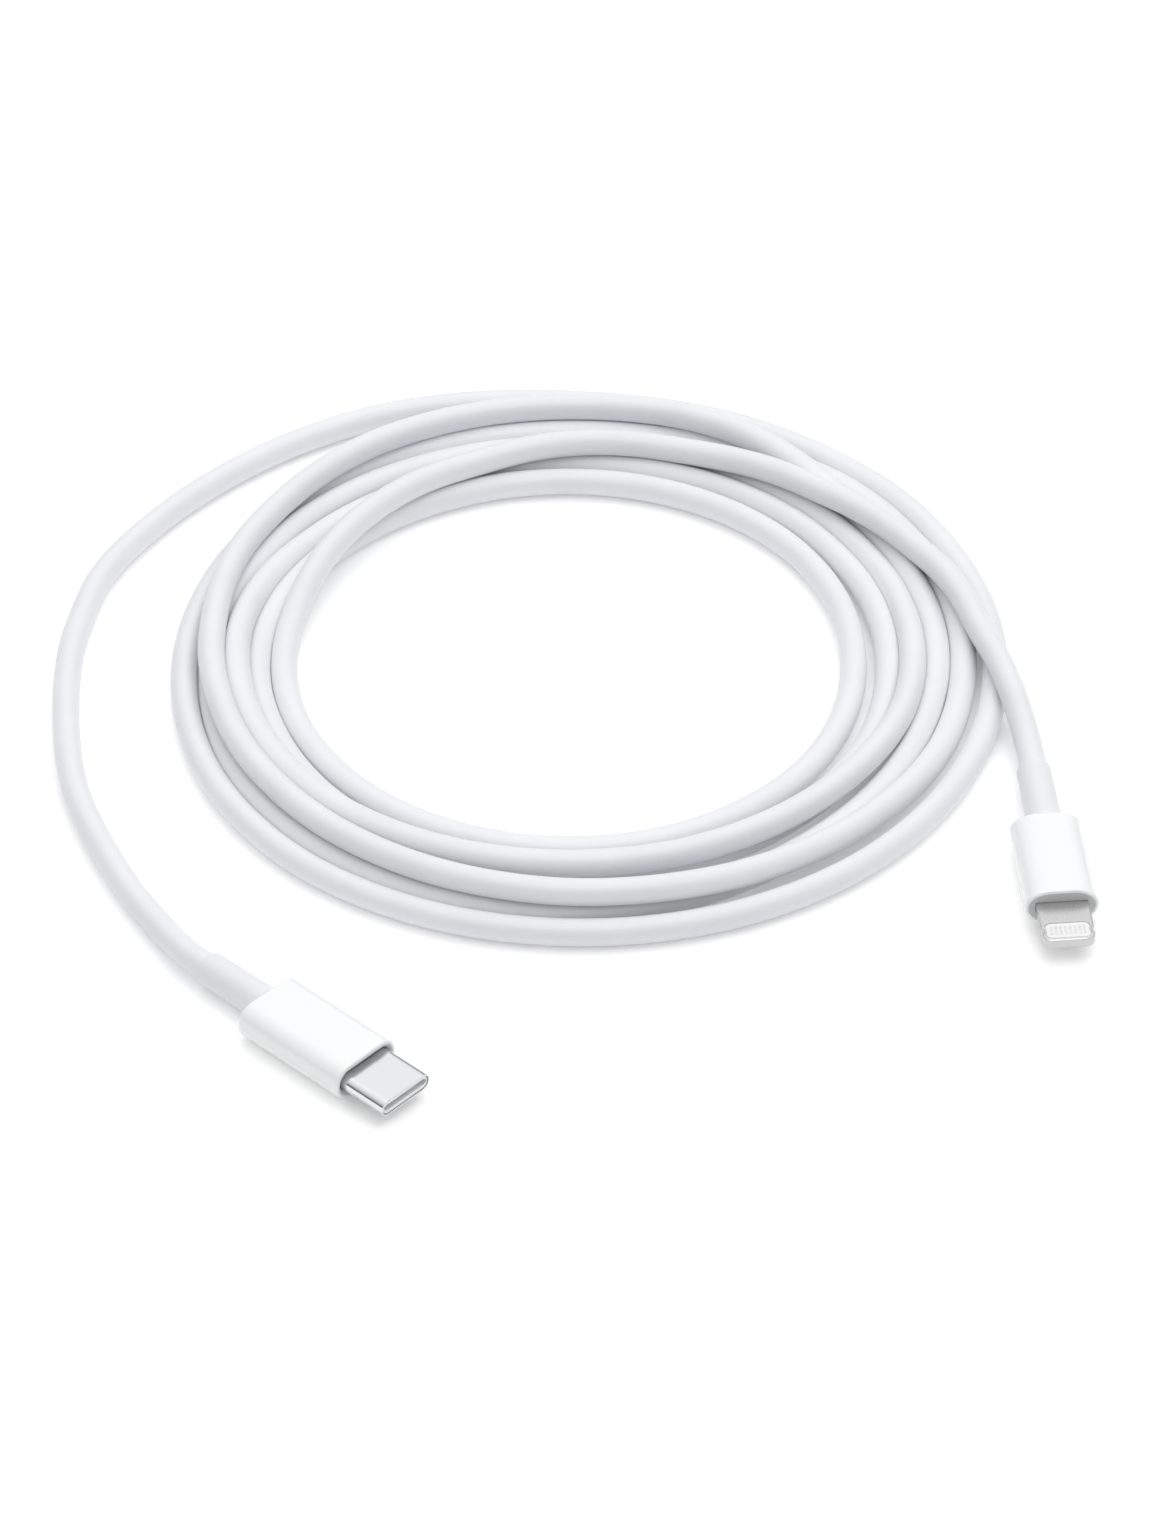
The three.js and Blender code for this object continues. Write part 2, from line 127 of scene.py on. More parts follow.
SHELL = {"width": 8.25, "height": 2.4, "thickness": 0.2, "front": 6.65, "back": -3, "edge": 0.045}
SHELL_SIDE = 1.17                       # radius of its sides, which are all but half circles
BLADE = {"width": 6.6, "thickness": 1.45, "front": 7, "back": -4.5, "corner": 1.25}
BLADE_EDGE = {"inset": 0.36, "drop": 0.16, "window": 0.03}
WINDOW = {"width": 5.6, "length": 2.7, "corner": 0.8, "front": 6.45}
NOTCH = {"x": 5.1, "radius": 0.7, "depth": 0.3}
INSERT = {"top": 0.66, "play": 0.02, "edge": 0.04}
PADS = {"count": 8, "pitch": 0.59, "width": 0.36, "length": 1.6, "bottom": 0.62, "top": 0.7, "edge": 0.02}
CAD_EDGE = 0.03                         # bevel on the CAD nodes that stay

scene = bpy.context.scene
joints = {joint["name"]: joint for joint in frame["joints"]}
mounts = {mount["name"]: mount for mount in frame["record"]["mounts"]}
COIL_CENTRE = (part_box("cord_coil")[0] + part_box("cord_coil")[1]) / 2


# ---------------------------------------------------------------- camera

def add_camera():
    x, y = CAMERA["aim"]
    aim = Vector((COIL_CENTRE.x + x, COIL_CENTRE.y + y, 0))
    elevation = math.radians(CAMERA["elevation"])
    away = Vector((0, -math.cos(elevation), math.sin(elevation)))
    data = bpy.data.cameras.new("camera")
    data.sensor_fit = "VERTICAL"
    data.sensor_height = CAMERA["sensor"]
    data.lens = CAMERA["lens"]
    data.clip_start = 0.05
    camera = bpy.data.objects.new("camera", data)
    camera.location = aim + CAMERA["distance"] * away
    camera.rotation_euler = (math.pi / 2 - elevation, 0, 0)
    scene.collection.objects.link(camera)
    scene.camera = camera


add_camera()


# ---------------------------------------------------------------- where the plugs are

class Plug:
    """A plug's sizes, and where its own axes are: behind it is the joint that flexes on the cord,
    and the mount in front says which way it points."""

    def __init__(self, prefix, joint, mount, size):
        self.prefix = prefix
        self.size = size
        self.body = joints[joint]["child"]
        self.flex = Vector(joints[joint]["pos_m"])
        self.direction = Vector(mounts[mount]["axis"])
        self.reach = size["length"] + size["relief"]
        front = self.flex + self.direction * self.reach * MM
        turn = Matrix.Rotation(math.atan2(self.direction.y, self.direction.x), 4, "Z")
        self.matrix = Matrix.Translation(front) @ turn @ Matrix.Scale(MM, 4)

    def on_axis(self, x):
        return self.matrix @ Vector((x, 0, 0))


TYPE_C = Plug("type_c", "type_c_flex", "type_c_mouth", TYPE_C_SIZE)
TAB = Plug("tab_plug", "tab_flex", "tab_tip", TAB_SIZE)


# ---------------------------------------------------------------- the cord's route

# The loose loop and the lead, from the coil's centre.
LOOP_ROUTE = [
    (-0.0485, -0.05945, 0.00245), (-0.0513, -0.0556, 0.0021), (-0.0544, -0.0506, 0.00185),
    (-0.0576, -0.045, 0.00177), (-0.0604, -0.039, 0.00177), (-0.0629, -0.0329, 0.00177),
    (-0.065, -0.0264, 0.00177), (-0.0663, -0.0195, 0.00177), (-0.067, -0.0124, 0.00177),
    (-0.0673, -0.0046, 0.00177), (-0.0669, 0.0036, 0.00177), (-0.0657, 0.0104, 0.00177),
    (-0.0642, 0.0165, 0.00177), (-0.0617, 0.0219, 0.00177), (-0.0584, 0.0271, 0.00177),
    (-0.0545, 0.0323, 0.00177), (-0.05, 0.0372, 0.00177), (-0.045, 0.0418, 0.00177),
    (-0.0397, 0.0458, 0.00177), (-0.0341, 0.0492, 0.00177), (-0.0285, 0.0518, 0.00177),
    (-0.0188, 0.0543, 0.00177),
]
LEAD_ROUTE = [
    (0.0541, -0.0088, 0.0048), (0.0556, -0.0149, 0.0032), (0.056, -0.0171, 0.00285),
    (0.05627, -0.0193, 0.00267), (0.0565, -0.02135, 0.00261),
]
INSIDE_RELIEF = 0.002                   # how far the cord goes into each strain relief

# Each turn's radius in millimetres at eight bearings, clockwise from the back, and the layer that it
# lies in there: 0 is on the floor and 1 is on top of another turn.
BEARINGS = 8
TURNS = [
    ([54.8, 53.0, 52.7, 53.2, 53.6, 54.1, 52.2, 50.6], [0, 0, 0, 0, 0, 0, 0, 0]),
    ([48.4, 49.3, 48.6, 48.7, 49.9, 49.4, 48.5, 50.3], [0, 0, 0, 0.9, 1, 0.95, 1, 1]),
    ([50.2, 47.0, 45.0, 45.8, 49.7, 50.4, 48.6, 47.6], [1, 0.7, 0, 0, 0, 0, 0, 0]),
    ([44.9, 42.9, 41.9, 42.1, 44.0, 45.2, 45.2, 43.0], [0, 0.25, 0.5, 0.85, 1, 0.85, 0.75, 0.1]),
    ([41.3, 39.9, 39.6, 40.7, 43.0, 43.6, 43.1, 40.0], [0, 0, 0, 0, 0, 0, 0, 0]),
    ([37.6, 35.7, 34.4, 35.8, 37.8, 39.2, 39.6, 39.5], [0, 0, 0, 0, 0, 0.05, 0.35, 1]),
    ([41.8, 44.2, 51.6], [1.05, 1.1, 1]),
]
LAYER = 0.98 * 2 * CORD_RADIUS
POINTS_PER_TURN = 18


def hermite(a, b, slope_a, slope_b, u):
    """The cubic from a to b with those slopes, at u from 0 to 1."""
    return ((2 * u**3 - 3 * u**2 + 1) * a + (u**3 - 2 * u**2 + u) * slope_a
            + (3 * u**2 - 2 * u**3) * b + (u**3 - u**2) * slope_b)


def smooth_values(values, places):
    """The values' smooth curve at fractional places in the list."""
    slope = np.gradient(values)
    i = np.clip(np.floor(places).astype(int), 0, len(values) - 2)
    return hermite(values[i], values[i + 1], slope[i], slope[i + 1], places - i)


def coil_points():
    radii = np.concatenate([np.array(radii, float) for radii, layers in TURNS])
    layers = np.concatenate([np.array(layers, float) for radii, layers in TURNS])
    last = len(radii) - 1
    places = np.linspace(0, last, round(last * POINTS_PER_TURN / BEARINGS) + 1)
    radius = smooth_values(radii, places) * MM
    height = CORD_RADIUS + smooth_values(layers, places) * LAYER
    angle = math.pi / 2 - places * 2 * math.pi / BEARINGS
    return np.stack([radius * np.cos(angle), radius * np.sin(angle), height], 1)


def distance_along(points):
    return np.r_[0, np.cumsum(np.linalg.norm(np.diff(points, axis=0), axis=1))]


def resample(points, step):
    """Even steps along a smooth curve through the points."""
    along = distance_along(points)
    slope = np.gradient(points, along, axis=0)
    t = np.linspace(0, along[-1], int(2 * along[-1] / step))
    i = np.clip(np.searchsorted(along, t, side="right") - 1, 0, len(points) - 2)
    span = (along[i + 1] - along[i])[:, None]
    u = (t - along[i])[:, None] / span
    fine = hermite(points[i], points[i + 1], span * slope[i], span * slope[i + 1], u)
    along = distance_along(fine)
    even = np.linspace(0, along[-1], round(along[-1] / step) + 1)
    return np.stack([np.interp(even, along, fine[:, k]) for k in range(3)], 1)


def settle(points, held=9, rounds=150):
    """Turns that lie in each other move apart, and each sinks until it rests on what is under it.
    The held points at each end are carried by the plugs and do not sink."""
    gap = 2 * CORD_RADIUS
    search_gap = gap + 1.5 * MM         # pairs this near are watched until the next search
    search_every = 10
    neighbours = 6                      # points this near along the cord are not another turn
    smoothing = 0.15
    pull_back = 0.02
    sink = 0.01 * MM
    order = np.arange(len(points))
    now = points.copy()
    lowest = np.full(len(points), CORD_RADIUS)
    lowest[:held] = points[:held, 2]
    lowest[-held:] = points[-held:, 2]
    for n in range(rounds):
        if n % search_every == 0:
            square = ((now[:, None] - now[None]) ** 2).sum(2)
            square[np.abs(order[:, None] - order[None]) < neighbours] = np.inf
            a, b = np.nonzero(np.triu(square < search_gap ** 2))
        apart = now[a] - now[b]
        distance = np.linalg.norm(apart, axis=1)
        close = distance < gap
        push = (0.5 * (gap - distance[close]) / distance[close])[:, None] * apart[close]
        move = np.zeros_like(now)
        count = np.zeros(len(now))
        np.add.at(move, a[close], push)
        np.add.at(move, b[close], -push)
        np.add.at(count, a[close], 1)
        np.add.at(count, b[close], 1)
        now += move / np.maximum(count, 1)[:, None]
        shift = now - points
        now[1:-1] += smoothing * ((shift[:-2] + shift[2:]) / 2 - shift[1:-1])
        now[:, :2] += pull_back * (points[:, :2] - now[:, :2])
        now[:, 2] = np.maximum(now[:, 2] - sink, lowest)
        now[0] = points[0]
        now[-1] = points[-1]
    return now


def cord_route():
    """From inside one strain relief to inside the other."""
    centre = np.array([COIL_CENTRE.x, COIL_CENTRE.y, 0])
    loose = np.vstack([LOOP_ROUTE, coil_points(), LEAD_ROUTE]) + centre
    start = [TYPE_C.flex + TYPE_C.direction * INSIDE_RELIEF, TYPE_C.flex]
    end = [TAB.flex, TAB.flex + TAB.direction * INSIDE_RELIEF]
    settled = settle(resample(np.vstack([start, loose, end]), SETTLE_STEP))
    return resample(settled, CORD_STEP)


# ---------------------------------------------------------------- outlines

# Each corner's side in both directions, and the angle that its arc starts at.
CORNERS = [(1, -1, -90), (1, 1, 0), (-1, 1, 90), (-1, -1, 180)]


def arc(x, y, radius, first, last, steps=8, oval=1.0):
    """Points round (x, y) from one angle to the other, in degrees, oval times as wide as high."""
    points = []
    for i in range(steps + 1):
        angle = math.radians(first + (last - first) * i / steps)
        points.append((x + radius * oval * math.cos(angle), y + radius * math.sin(angle)))
    return points


def between(a, b, t):
    """The points that are t of the way from those of a to those of b."""
    return [(p[0] + (q[0] - p[0]) * t, p[1] + (q[1] - p[1]) * t) for p, q in zip(a, b)]


def shape(width, height, radius, steps=10, oval=1.0):
    """A rounded rectangle in Y and Z, whose corners are oval times as wide as they are high. It has
    the same number of points at every size, so that rings can be joined, and a point near each end
    of every flat."""
    flat = 0.01
    radius = max(min(radius, width / 2 / oval - flat, height / 2 - flat), 2 * flat)
    corners = []
    for sy, sz, first in CORNERS:
        y = sy * (width / 2 - radius * oval)
        z = sz * (height / 2 - radius)
        corners.append(arc(y, z, radius, first, first + 90, steps, oval))
    points = []
    for corner, after in zip(corners, corners[1:] + corners[:1]):
        points += corner
        for t in (0.05, 0.5, 0.95):
            points += between(corner[-1:], after[:1], t)
    return points


def ring(x, points):
    return [(x, y, z) for y, z in points]


def round_ring(x, radius, like):
    """A circle whose points lie in the same directions as those of the outline it joins."""
    return [(x, radius * y / math.hypot(y, z), radius * z / math.hypot(y, z)) for y, z in like]


def circle(x, radius, sides=48):
    turn = 2 * math.pi / sides
    return [(x, radius * math.cos(i * turn), radius * math.sin(i * turn)) for i in range(sides)]


def eased(steps):
    """Pairs (sine, 1 - cosine) that take a fillet from 0 to a quarter turn."""
    for i in range(steps + 1):
        angle = math.pi / 2 * i / steps
        yield math.sin(angle), 1 - math.cos(angle)


# ---------------------------------------------------------------- meshes

def join_rings(bm, a, b):
    for i in range(len(a)):
        j = (i + 1) % len(a)
        bm.faces.new((a[i], a[j], b[j], b[i]))


def make_object(name, bm, smooth_angle=35):
    bmesh.ops.recalc_face_normals(bm, faces=bm.faces)
    mesh = bpy.data.meshes.new(name)
    bm.to_mesh(mesh)
    bm.free()
    for polygon in mesh.polygons:
        polygon.use_smooth = True
    mesh.set_sharp_from_angle(angle=math.radians(smooth_angle))
    obj = bpy.data.objects.new(name, mesh)
    scene.collection.objects.link(obj)
    weighted = obj.modifiers.new("normals", "WEIGHTED_NORMAL")
    weighted.keep_sharp = True
    return obj


def loft(name, matrix, rings, closed=False, smooth_angle=35):
    """A skin over rings with the same number of points. closed joins the last ring to the first;
    otherwise both ends are capped."""
    bm = bmesh.new()
    grid = [[bm.verts.new(matrix @ Vector(p)) for p in points] for points in rings]
    for a, b in zip(grid, grid[1:]):
        join_rings(bm, a, b)
    if closed:
        join_rings(bm, grid[-1], grid[0])
    else:
        bm.faces.new(grid[0])
        bm.faces.new(grid[-1])
    return make_object(name, bm, smooth_angle)


def plate(name, plug, outline_at, low, high, edge):
    """A flat piece with eased edges, from its outline at an inset."""
    rings = [[(x, y, low + edge * c) for x, y in outline_at(edge - edge * s)] for s, c in eased(3)]
    rings += [[(x, y, high - edge + edge * s) for x, y in outline_at(edge * c)] for s, c in eased(3)]
    return loft(name, plug.matrix, rings)


# ---------------------------------------------------------------- materials

def noise(tree, scale, detail=3, stretch=None, space="Object"):
    nodes, links = tree.nodes, tree.links
    coordinates = nodes.new("ShaderNodeTexCoord")
    texture = nodes.new("ShaderNodeTexNoise")
    texture.inputs["Scale"].default_value = scale
    texture.inputs["Detail"].default_value = detail
    source = coordinates.outputs[space]
    if stretch:
        mapping = nodes.new("ShaderNodeMapping")
        mapping.inputs["Scale"].default_value = stretch
        links.new(source, mapping.inputs["Vector"])
        source = mapping.outputs["Vector"]
    links.new(source, texture.inputs["Vector"])
    return texture.outputs["Fac"]


def ranged(tree, value, low, high):
    """Takes the middle of the noise, where most of it lies, to low and high."""
    node = tree.nodes.new("ShaderNodeMapRange")
    node.inputs["From Min"].default_value = 0.3
    node.inputs["From Max"].default_value = 0.7
    node.inputs["To Min"].default_value = low
    node.inputs["To Max"].default_value = high
    tree.links.new(value, node.inputs["Value"])
    return node.outputs["Result"]


MATERIALS = {}


def material(name, light, dark, roughness, metallic=0.0, patch=120, grain=6000, depth=0.004,
             stretch=None, space="Object", coat=0.0):
    """Two close tones in soft patches, with fine grain in the roughness and the relief. depth is
    the grain's, in millimetres."""
    made = bpy.data.materials.new(name)
    made.use_nodes = True
    tree = made.node_tree
    shader = tree.nodes["Principled BSDF"]
    shader.inputs["Metallic"].default_value = metallic
    shader.inputs["Coat Weight"].default_value = coat
    shader.inputs["Coat Roughness"].default_value = 0.08
    tone = tree.nodes.new("ShaderNodeMix")
    tone.data_type = "RGBA"
    tone.inputs["A"].default_value = (*light, 1)
    tone.inputs["B"].default_value = (*dark, 1)
    tree.links.new(ranged(tree, noise(tree, patch), 0, 1), tone.inputs["Factor"])
    tree.links.new(tone.outputs["Result"], shader.inputs["Base Color"])
    fine = noise(tree, grain, 2, stretch, space)
    tree.links.new(ranged(tree, fine, roughness[0], roughness[1]), shader.inputs["Roughness"])
    bump = tree.nodes.new("ShaderNodeBump")
    bump.inputs["Strength"].default_value = 0.5
    bump.inputs["Distance"].default_value = depth * MM
    tree.links.new(fine, bump.inputs["Height"])
    tree.links.new(bump.outputs["Normal"], shader.inputs["Normal"])
    MATERIALS[name] = made


material("jacket", (0.81, 0.82, 0.845), (0.785, 0.795, 0.822), (0.4, 0.52), grain=3000,
         depth=0.01, stretch=(0.15, 1, 1), space="UV")
material("relief", (0.8, 0.81, 0.83), (0.775, 0.785, 0.805), (0.5, 0.62), grain=4000, depth=0.01)
material("housing", (0.89, 0.9, 0.905), (0.872, 0.883, 0.89), (0.16, 0.24), grain=2500,
         depth=0.002, coat=0.3)
# Painted shade: the moulding is white plastic, given a mid grey here to stand for the shade on its forward-facing
# front.
material("mould", (0.6, 0.605, 0.61), (0.56, 0.565, 0.57), (0.4, 0.5))
material("shell_steel", (0.74, 0.745, 0.76), (0.71, 0.715, 0.73), (0.12, 0.2), 1.0, grain=5000,
         depth=0.002, stretch=(0.2, 1, 1))
material("tab_steel", (0.61, 0.61, 0.615), (0.58, 0.58, 0.585), (0.26, 0.36), 0.8, depth=0.003)
material("spring_steel", (0.6, 0.6, 0.61), (0.5, 0.5, 0.51), (0.3, 0.4), 1.0)
material("can_steel", (0.62, 0.63, 0.64), (0.5, 0.51, 0.52), (0.3, 0.5), 1.0)
material("brass", (0.7, 0.55, 0.32), (0.58, 0.43, 0.23), (0.25, 0.4), 1.0)
material("carrier", (0.88, 0.885, 0.89), (0.83, 0.835, 0.84), (0.4, 0.55))
material("insert", (0.84, 0.845, 0.85), (0.8, 0.805, 0.81), (0.3, 0.4))
material("contact_gold", (0.76, 0.76, 0.75), (0.7, 0.7, 0.69), (0.25, 0.4), 0.5)
material("board", (0.03, 0.17, 0.07), (0.02, 0.12, 0.05), (0.3, 0.45))
material("chip", (0.025, 0.025, 0.028), (0.04, 0.04, 0.043), (0.4, 0.6))
material("capacitor", (0.45, 0.3, 0.18), (0.36, 0.23, 0.13), (0.3, 0.5))
material("core_red", (0.62, 0.04, 0.03), (0.5, 0.03, 0.02), (0.3, 0.45))
material("core_black", (0.025, 0.025, 0.025), (0.04, 0.04, 0.04), (0.3, 0.45))
material("core_green", (0.04, 0.35, 0.1), (0.03, 0.26, 0.07), (0.3, 0.45))
material("core_white", (0.85, 0.85, 0.84), (0.78, 0.78, 0.77), (0.3, 0.45))


def finish(obj, slot, body, *nodes):
    """Gives a new piece its material, its body and the CAD nodes that it stands for. A piece with no body is
    attached to none."""
    obj.data.materials.clear()
    obj.data.materials.append(MATERIALS[slot])
    if body:
        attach(obj, body)
    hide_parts(*nodes)
    return obj


# ---------------------------------------------------------------- cord

def add_cord():
    route = cord_route()
    tangent = np.gradient(route, axis=0)
    tangent /= np.linalg.norm(tangent, axis=1)[:, None]
    along = distance_along(route)
    bm = bmesh.new()
    uv = bm.loops.layers.uv.new("along")
    side = Vector(tangent[0]).cross(Vector((0, 0, 1))).normalized()
    rows = []
    for point, direction in zip(route, tangent):
        direction = Vector(direction)
        side = (side - direction * side.dot(direction)).normalized()
        up = direction.cross(side)
        row = []
        for i in range(CORD_SIDES):
            angle = 2 * math.pi * i / CORD_SIDES
            offset = side * math.cos(angle) + up * math.sin(angle)
            row.append(bm.verts.new(Vector(point) + offset * CORD_RADIUS))
        rows.append(row)
    around = 2 * math.pi * CORD_RADIUS
    for n, (a, b) in enumerate(zip(rows, rows[1:])):
        for i in range(CORD_SIDES):
            j = (i + 1) % CORD_SIDES
            face = bm.faces.new((a[i], a[j], b[j], b[i]))
            corners = ((n, i), (n, i + 1), (n + 1, i + 1), (n + 1, i))
            for loop, (m, k) in zip(face.loops, corners):
                loop[uv].uv = (along[m], around * k / CORD_SIDES)
    bm.faces.new(rows[0])
    bm.faces.new(rows[-1])
    cord = finish(make_object("cord", bm), "jacket", "cord", "cord_loop", "cord_coil", "cord_lead")


add_cord()


# ---------------------------------------------------------------- pieces that both plugs have

def add_relief(plug):
    """Tapered sleeve with a socket for the cord, reaching back just past where the plug turns on the cord. The
    profile goes from the socket's floor round the cord's end and along the taper, then over the neck and the
    flange that the housing holds."""
    r = RELIEF
    flex = -plug.reach
    rear = flex - r["overhang"]
    front = -plug.size["length"] - 0.01
    bore = CORD_RADIUS / MM + r["play"]
    floor = flex + r["socket"]
    bends = [flex + 1, rear + 0.25]
    socket = [(floor, r["socket_cap"]), (floor, bore)] + [(x, bore) for x in bends]
    inner, lip, ease = r["inner_lip"], r["lip"], r["ease"]
    inside = [(rear + inner - inner * s, bore + inner * c) for s, c in eased(3)]
    outside = [(rear + lip * c, r["lip_radius"] - lip + lip * s) for s, c in eased(6)]
    for i in range(1, r["rings"]):
        t = i / r["rings"]
        radius = r["lip_radius"] + (r["base_radius"] - r["lip_radius"]) * t ** r["taper"]
        outside.append((rear + lip + (front - rear - lip) * t, radius))
    outside += [(front - ease + ease * s, r["base_radius"] - ease * c) for s, c in eased(3)]
    neck_end = front + r["neck"]
    flange_end = neck_end + r["flange"]
    held = [(front, r["neck_radius"]), (neck_end, r["neck_radius"]), (neck_end, r["flange_radius"]),
            (flange_end, r["flange_radius"]), (flange_end, r["flange_cap"])]
    rings = [circle(x, radius) for x, radius in socket + inside + outside + held]
    obj = loft(plug.prefix + "_relief", plug.matrix, rings, smooth_angle=50)
    finish(obj, "relief", None, plug.prefix + "_strain_relief")
    plug.on_axis(flex + 0.5)
    plug.on_axis(front - 0.5)
    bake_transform(obj)


def plug_section(plug, inset):
    """The housing's outline in Y and Z, moved in by inset."""
    size = plug.size
    return shape(size["width"] - 2 * inset, size["height"] - 2 * inset, size["corner"] - inset,
                 oval=size["oval"])


def add_housing(plug):
    """White sleeve: the hole for the cord, the rounded rear, the rolled lip, and the inside."""
    back = -plug.size["length"]
    wall = plug.size["wall"]
    hole, chamfer, rear = HOUSING["hole"], HOUSING["chamfer"], HOUSING["rear"]
    lip, dish = HOUSING["lip"], HOUSING["dish"]
    outline = plug_section(plug, 0)
    rings = [round_ring(back + chamfer, hole, outline), round_ring(back, hole + chamfer, outline)]
    rings += [ring(back + rear * c, plug_section(plug, rear - rear * s)) for s, c in eased(6)]
    rings += [ring(-lip + lip * s, plug_section(plug, lip * c)) for s, c in eased(5)]
    rings += [ring(-dish * c, plug_section(plug, lip + (wall - lip) * s)) for s, c in eased(6)]
    rings.append(ring(-dish - HOUSING["band"], plug_section(plug, wall)))
    rings.append(ring(back + plug.size["rear_wall"], plug_section(plug, wall)))
    rings.append(round_ring(back + plug.size["rear_wall"], hole, outline))
    obj = loft(plug.prefix + "_outer_housing", plug.matrix, rings, closed=True)
    finish(obj, "housing", plug.body, plug.prefix + "_housing")


def add_moulding(plug):
    """Inner moulding: a front face dished from the housing's lip down to the mouth, the mouth, and
    the hollow that holds the can."""
    size, edge = plug.size, MOULDING["edge"]
    inset = size["wall"] + MOULDING["play"]
    outline = plug_section(plug, inset)
    mouth = shape(size["mouth"]["width"], size["mouth"]["height"], size["mouth"]["corner"])
    can, can_play = size["can"], MOULDING["can_play"]
    hollow = shape(can["width"] + can_play, can["height"] + can_play, MOULDING["can_corner"])
    deeper = size["recess"] - HOUSING["dish"]
    steps = MOULDING["dish_rings"]
    rings = []
    for i in range(steps + 1):
        t = i / steps
        x = -HOUSING["dish"] - deeper * (1 - math.cos(t * math.pi / 2))
        rings.append(ring(x, between(outline, mouth, t)))
    rings.append(ring(-size["recess"] - edge, mouth))
    rings.append(ring(size["mouth"]["back"], mouth))
    rings.append(ring(size["mouth"]["back"], hollow))
    rings.append(ring(size["moulding_back"], hollow))
    rings.append(ring(size["moulding_back"], plug_section(plug, inset + edge)))
    rings.append(ring(size["moulding_back"] + edge, outline))
    obj = loft(plug.prefix + "_moulding", plug.matrix, rings, closed=True)
    # The mould material's grey is painted shade on this white moulding's front.
    finish(obj, "mould", plug.body, plug.prefix + "_inner_mould")


# ---------------------------------------------------------------- type-C plug

def shell_section(inset):
    """The shell's outline, moved in by inset."""
    width, height = SHELL["width"] - 2 * inset, SHELL["height"] - 2 * inset
    return shape(width, height, SHELL_SIDE - inset, 14)


def add_shell():
    thickness, front, edge = SHELL["thickness"], SHELL["front"], SHELL["edge"]
    rings = [ring(SHELL["back"], shell_section(thickness)), ring(SHELL["back"], shell_section(0))]
    rings += [ring(front - edge + edge * s, shell_section(edge * c)) for s, c in eased(4)]
    rings += [ring(front - edge * c, shell_section(thickness - edge * (1 - s))) for s, c in eased(4)]
    obj = loft("type_c_steel_shell", TYPE_C.matrix, rings, closed=True)
    finish(obj, "shell_steel", TYPE_C.body, "type_c_shell")


def add_type_c():
    add_relief(TYPE_C)
    add_housing(TYPE_C)
    add_moulding(TYPE_C)
    add_shell()


# ---------------------------------------------------------------- tab plug

WINDOW_MIDDLE = WINDOW["front"] - WINDOW["length"] / 2


def window_outline(inset):
    """Rounded window in X and Y, counter-clockwise."""
    radius = WINDOW["corner"] - inset
    x = WINDOW["length"] / 2 - inset - radius
    y = WINDOW["width"] / 2 - inset - radius
    points = []
    for sx, sy, first in CORNERS:
        points += arc(WINDOW_MIDDLE + sx * x, sy * y, radius, first, first + 90)
    return points


def moved_in(points, inset):
    """An outline with each side moved in by inset."""
    moved = []
    for i, point in enumerate(points):
        before, here, after = Vector(points[i - 1]), Vector(point), Vector(points[(i + 1) % len(points)])
        arriving = (here - before).normalized()
        leaving = (after - here).normalized()
        first = Vector((-arriving.y, arriving.x))
        second = Vector((-leaving.y, leaving.x))
        inward = (first + second).normalized()
        moved.append(tuple(here + inward * inset / max(inward.dot(first), 0.5)))
    return moved


def blade_outline(inset):
    """The tab's plan: round front corners and a retention notch in each side."""
    half = BLADE["width"] / 2
    corner = BLADE["corner"]
    radius = NOTCH["radius"]
    chord = radius - NOTCH["depth"]
    spread = math.degrees(math.acos(chord / radius))
    side = [(BLADE["back"], -half)]
    side += arc(NOTCH["x"], -half - chord, radius, 90 + spread, 90 - spread)
    side += arc(BLADE["front"] - corner, -half + corner, corner, -90, 0)
    points = side + [(x, -y) for x, y in reversed(side)]
    return moved_in(points, inset)


def add_blade():
    """Steel tab with eased edges, made as two rims joined by flat faces round the window."""
    half = BLADE["thickness"] / 2
    inset, drop, bevel = BLADE_EDGE["inset"], BLADE_EDGE["drop"], BLADE_EDGE["window"]
    bm = bmesh.new()

    def row(points, z):
        return [bm.verts.new(TAB.matrix @ Vector((x, y, z))) for x, y in points]

    rows = [row(blade_outline(inset - inset * s), -half + drop * c) for s, c in eased(6)]
    rows += [row(blade_outline(inset * c), half - drop + drop * s) for s, c in eased(6)]
    for a, b in zip(rows, rows[1:]):
        join_rings(bm, a, b)
    inner = [row(window_outline(-bevel), -half), row(window_outline(0), -half + bevel),
             row(window_outline(0), half - bevel), row(window_outline(-bevel), half)]
    for a, b in zip(inner, inner[1:]):
        join_rings(bm, a, b)
    for rim, hole in ((rows[0], inner[0]), (rows[-1], inner[-1])):
        edges = []
        for loop in (rim, hole):
            for i in range(len(loop)):
                edges.append(bm.edges.get((loop[i], loop[(i + 1) % len(loop)])))
        bmesh.ops.triangle_fill(bm, use_beauty=True, edges=edges)
    obj = make_object("tab_plug_blade", bm)
    finish(obj, "tab_steel", TAB.body, "tab_plug_frame")


def add_insert():
    play, top = INSERT["play"], INSERT["top"]
    obj = plate("tab_plug_window", TAB, lambda inset: window_outline(play + inset),
                -top, top, INSERT["edge"])
    finish(obj, "insert", TAB.body, "tab_plug_insert")


def pad_outline(y, inset):
    """A pad with round ends, lengthwise in X."""
    radius = PADS["width"] / 2 - inset
    reach = PADS["length"] / 2 - PADS["width"] / 2
    front = arc(WINDOW_MIDDLE + reach, y, radius, -90, 90)
    return front + arc(WINDOW_MIDDLE - reach, y, radius, 90, 270)


